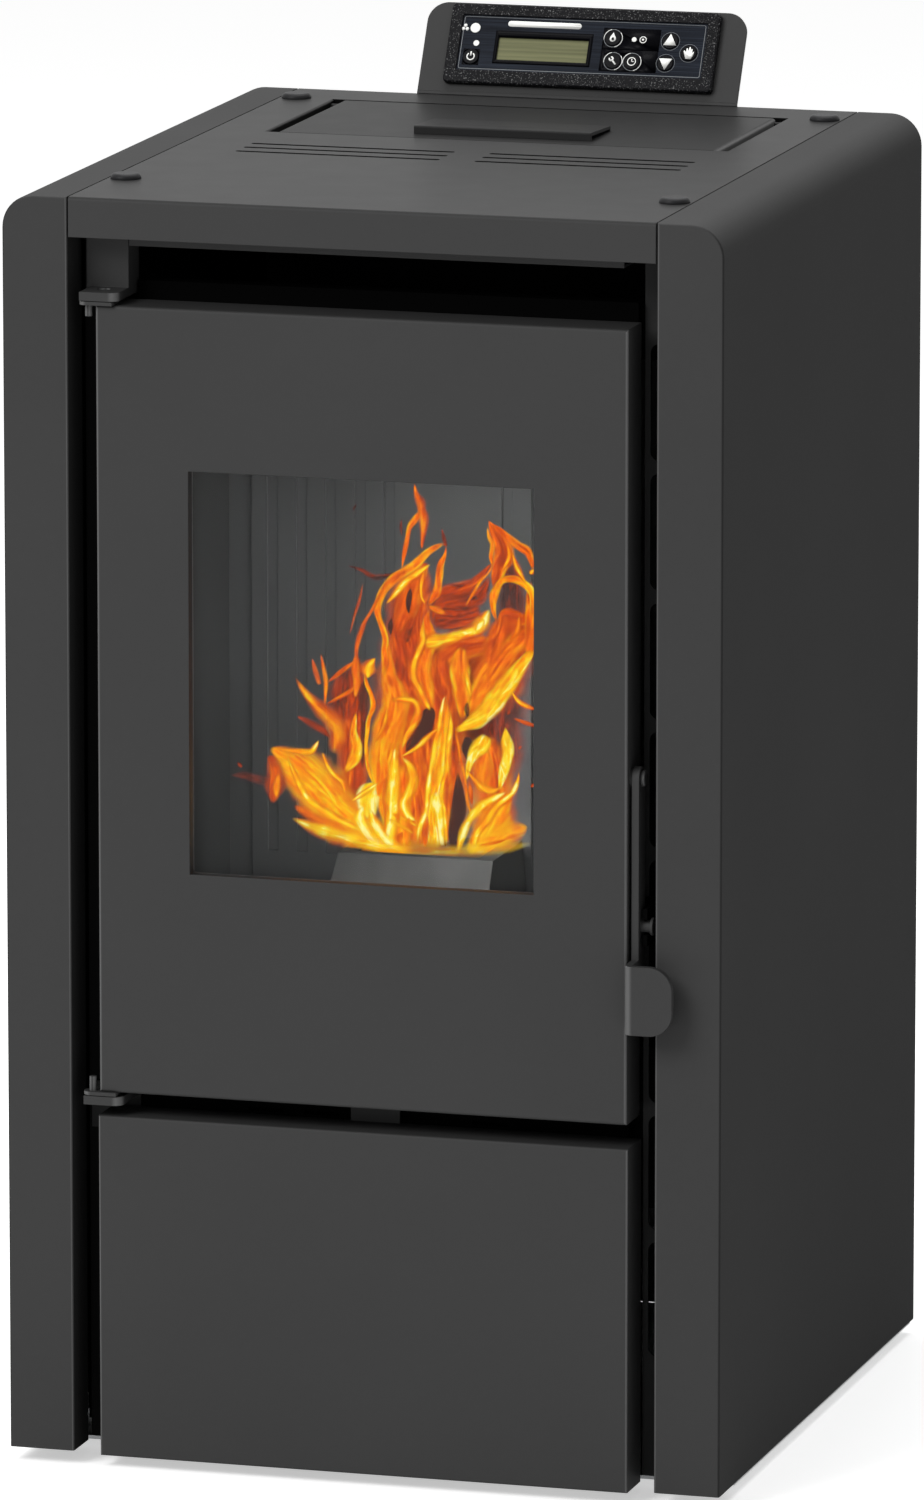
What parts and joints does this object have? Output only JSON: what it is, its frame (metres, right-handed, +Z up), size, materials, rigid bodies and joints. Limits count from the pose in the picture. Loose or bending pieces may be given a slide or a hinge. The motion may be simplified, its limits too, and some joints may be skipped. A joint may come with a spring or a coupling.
{
  "type": "pellet stove",
  "caption": "Upright pellet stove: painted sheet cabinet, glazed fire door on a left hinge, lever handle, lift-up hopper lid, tilted keypad, rear flue spigot",
  "frame": {"origin": "on the floor, under the middle of the overall box, which runs from the door handle's tab to the end of the flue spigot", "axes": "+X to the right as a person faces the door, +Y from the door to the rear panel, +Z up"},
  "size_m": [0.406, 0.4914, 0.7578],
  "materials": {
    "cabinet_paint": "satin fine-texture powder coat",
    "door_paint": "satin fine-texture powder coat",
    "frame_paint": "dull black paint",
    "galvanised_sheet": "zinc-coated sheet",
    "heat_paint": "matt heat-resistant paint",
    "bare_steel": "bare or zinc-plated steel",
    "cast_iron": "as-cast, darkened by fire",
    "vermiculite": "pressed heat-proof board",
    "seal_rope": "glass-fibre rope",
    "door_glass": "clear ceramic glass",
    "aluminium": "die-cast",
    "igniter_ceramic": "sintered",
    "black_plastic": "moulded",
    "circuit_board": "lacquered board",
    "keypad_film": "printed brushed film",
    "key_plastic": "printed film over dome switches",
    "light_lens": "clear lens"
  },
  "bodies": {
    "cabinet": {"side_panel_left": "cabinet_paint", "side_panel_right": "cabinet_paint", "top_panel": "cabinet_paint", "lower_panel": "cabinet_paint", "console_bracket": "cabinet_paint", "inner_sides": "frame_paint", "cross_rail": "frame_paint", "air_duct_roof": "frame_paint", "hinge_brackets": "frame_paint", "door_catch": "frame_paint", "base_plate": "galvanised_sheet", "rear_panel": "galvanised_sheet", "hopper": "galvanised_sheet", "hopper_grate": "galvanised_sheet", "blower_housing": "galvanised_sheet", "firebox_shell": "heat_paint", "firebox_flange": "heat_paint", "smoke_duct": "heat_paint", "flue_pipe": "heat_paint", "panel_screws": "bare_steel", "auger_tube": "bare_steel", "ash_pan": "bare_steel", "air_intake_pipe": "bare_steel", "levelling_feet": "bare_steel", "fire_back_liner": "cast_iron", "baffle_plate": "vermiculite", "extractor_housing": "aluminium", "auger_motor": "aluminium", "igniter": "igniter_ceramic", "top_caps": "black_plastic", "keypad_housing": "black_plastic", "power_inlet": "black_plastic", "pressure_switch": "black_plastic", "safety_thermostat": "black_plastic", "control_board": "circuit_board", "lcd_module": "circuit_board", "keypad_overlay": "keypad_film", "keypad_lights": "light_lens"},
    "door": {"door_panel": "door_paint", "window_gasket": "seal_rope", "door_glass": "door_glass", "glass_clamps": "bare_steel", "door_liner": "heat_paint", "door_gasket": "seal_rope"},
    "handle": {"door_handle": "door_paint"},
    "lid": {"hopper_lid": "cabinet_paint", "lid_handle": "cabinet_paint"},
    "pot": {"burn_pot": "cast_iron"},
    "auger": {"auger_screw": "bare_steel"},
    "smoke_fan": {"extractor_wheel": "aluminium"},
    "room_fan": {"blower_wheel": "aluminium"},
    "switch": {"power_rocker": "black_plastic"},
    "reset": {"reset_button": "black_plastic"},
    "key_power_cap": {"key_power": "key_plastic"},
    "key_flame_cap": {"key_flame": "key_plastic"},
    "key_wrench_cap": {"key_wrench": "key_plastic"},
    "key_clock_cap": {"key_clock": "key_plastic"},
    "key_up_cap": {"key_up": "key_plastic"},
    "key_down_cap": {"key_down": "key_plastic"},
    "key_hand_cap": {"key_hand": "key_plastic"}
  },
  "joints": [
    {"name": "door_swing", "type": "hinge", "parent": "cabinet", "child": "door", "pos_m": [-0.1546, -0.22925, 0.428], "axis": [0, 0, -1], "range_deg": [0, 110]},
    {"name": "handle_lift", "type": "hinge", "parent": "door", "child": "handle", "pos_m": [0.1538, -0.22255, 0.403], "axis": [-1, 0, 0], "range_deg": [0, 40]},
    {"name": "lid_lift", "type": "hinge", "parent": "cabinet", "child": "lid", "pos_m": [0, 0.15595, 0.7046], "axis": [-1, 0, 0], "range_deg": [0, 95]},
    {"name": "pot_lift_out", "type": "slide", "parent": "cabinet", "child": "pot", "axis": [0, 0, 1], "range_m": [0, 0.04]},
    {"name": "auger_turn", "type": "hinge", "parent": "cabinet", "child": "auger", "pos_m": [0, 0.11275, 0.408], "axis": [0, -0.906, 0.4232], "continuous": true},
    {"name": "smoke_fan_turn", "type": "hinge", "parent": "cabinet", "child": "smoke_fan", "pos_m": [-0.06, 0.00975, 0.138], "axis": [0, 1, 0], "continuous": true},
    {"name": "room_fan_turn", "type": "hinge", "parent": "cabinet", "child": "room_fan", "pos_m": [0.118, 0.09375, 0.103], "axis": [0, 1, 0], "continuous": true},
    {"name": "switch_rock", "type": "hinge", "parent": "cabinet", "child": "switch", "pos_m": [0.14, 0.18975, 0.212], "axis": [-1, 0, 0], "range_deg": [0, 16]},
    {"name": "reset_press", "type": "slide", "parent": "cabinet", "child": "reset", "axis": [0, -1, 0], "range_m": [0, 0.002], "stiffness_N_per_m": 400},
    {"name": "key_power_press", "type": "slide", "parent": "cabinet", "child": "key_power_cap", "axis": [0, 0.8746, -0.4848], "range_m": [0, 0.0006], "stiffness_N_per_m": 2000},
    {"name": "key_flame_press", "type": "slide", "parent": "cabinet", "child": "key_flame_cap", "axis": [0, 0.8746, -0.4848], "range_m": [0, 0.0006], "stiffness_N_per_m": 2000},
    {"name": "key_wrench_press", "type": "slide", "parent": "cabinet", "child": "key_wrench_cap", "axis": [0, 0.8746, -0.4848], "range_m": [0, 0.0006], "stiffness_N_per_m": 2000},
    {"name": "key_clock_press", "type": "slide", "parent": "cabinet", "child": "key_clock_cap", "axis": [0, 0.8746, -0.4848], "range_m": [0, 0.0006], "stiffness_N_per_m": 2000},
    {"name": "key_up_press", "type": "slide", "parent": "cabinet", "child": "key_up_cap", "axis": [0, 0.8746, -0.4848], "range_m": [0, 0.0006], "stiffness_N_per_m": 2000},
    {"name": "key_down_press", "type": "slide", "parent": "cabinet", "child": "key_down_cap", "axis": [0, 0.8746, -0.4848], "range_m": [0, 0.0006], "stiffness_N_per_m": 2000},
    {"name": "key_hand_press", "type": "slide", "parent": "cabinet", "child": "key_hand_cap", "axis": [0, 0.8746, -0.4848], "range_m": [0, 0.0006], "stiffness_N_per_m": 2000}
  ]
}
